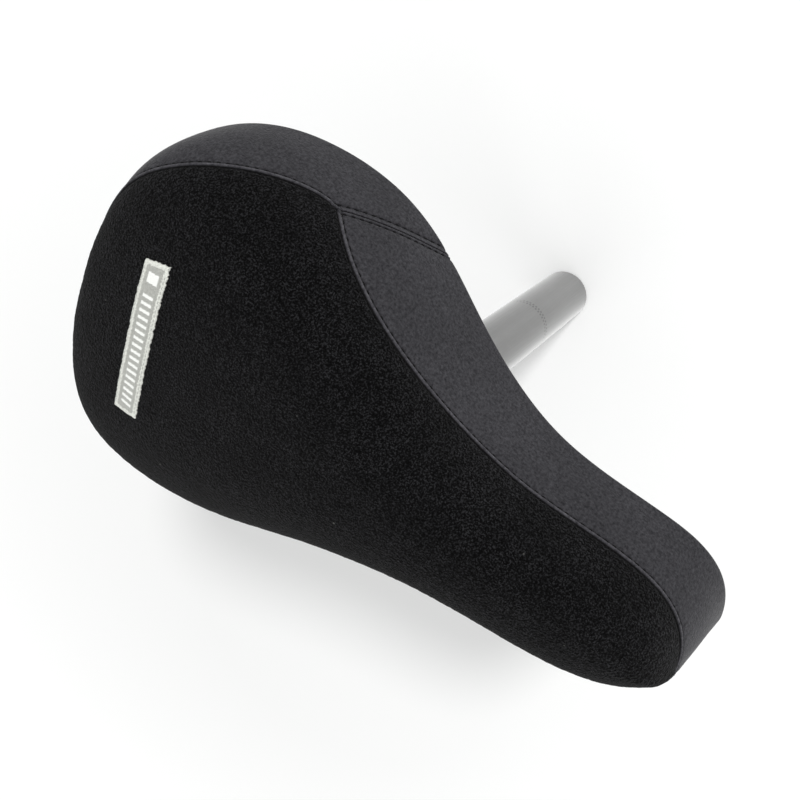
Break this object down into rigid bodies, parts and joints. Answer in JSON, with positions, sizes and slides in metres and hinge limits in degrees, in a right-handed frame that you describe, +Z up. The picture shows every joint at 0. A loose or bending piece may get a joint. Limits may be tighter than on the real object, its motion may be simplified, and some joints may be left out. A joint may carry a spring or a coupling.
{
  "type": "bicycle saddle with seatpost",
  "caption": "Padded one-piece bicycle saddle with a fabric cover over a moulded base, bolted to its own short straight alloy seatpost.",
  "frame": {"origin": "Centre of the post's lower end.", "axes": "+Z up along the post's axis, +X to the saddle's nose, +Y to the rider's left."},
  "size_m": [0.248, 0.1496, 0.2393],
  "materials": {
    "top_fabric": "short looped pile, matt black",
    "band_fabric": "smooth brushed knit, charcoal",
    "label": "woven, light grey",
    "foam": "open-cell foam",
    "base_plastic": "moulded, fine texture",
    "staple_wire": "galvanised wire",
    "post_alloy": "satin, polished along the tube",
    "head_alloy": "bead-blasted forging",
    "bolt_steel": "black oxide",
    "washer_steel": "zinc plated",
    "insert_brass": "turned"
  },
  "bodies": {
    "root": {"top_panel": "top_fabric", "rear_band": "band_fabric", "front_band": "band_fabric", "woven_label": "label", "foam_pad": "foam", "base_shell": "base_plastic", "cover_staples": "staple_wire", "post_tube": "post_alloy", "post_head": "head_alloy", "bolt_rear_left": "bolt_steel", "bolt_rear_right": "bolt_steel", "bolt_front_left": "bolt_steel", "bolt_front_right": "bolt_steel", "washer_rear_left": "washer_steel", "washer_rear_right": "washer_steel", "washer_front_left": "washer_steel", "washer_front_right": "washer_steel", "insert_rear_left": "insert_brass", "insert_rear_right": "insert_brass", "insert_front_left": "insert_brass", "insert_front_right": "insert_brass"}
  },
  "joints": []
}
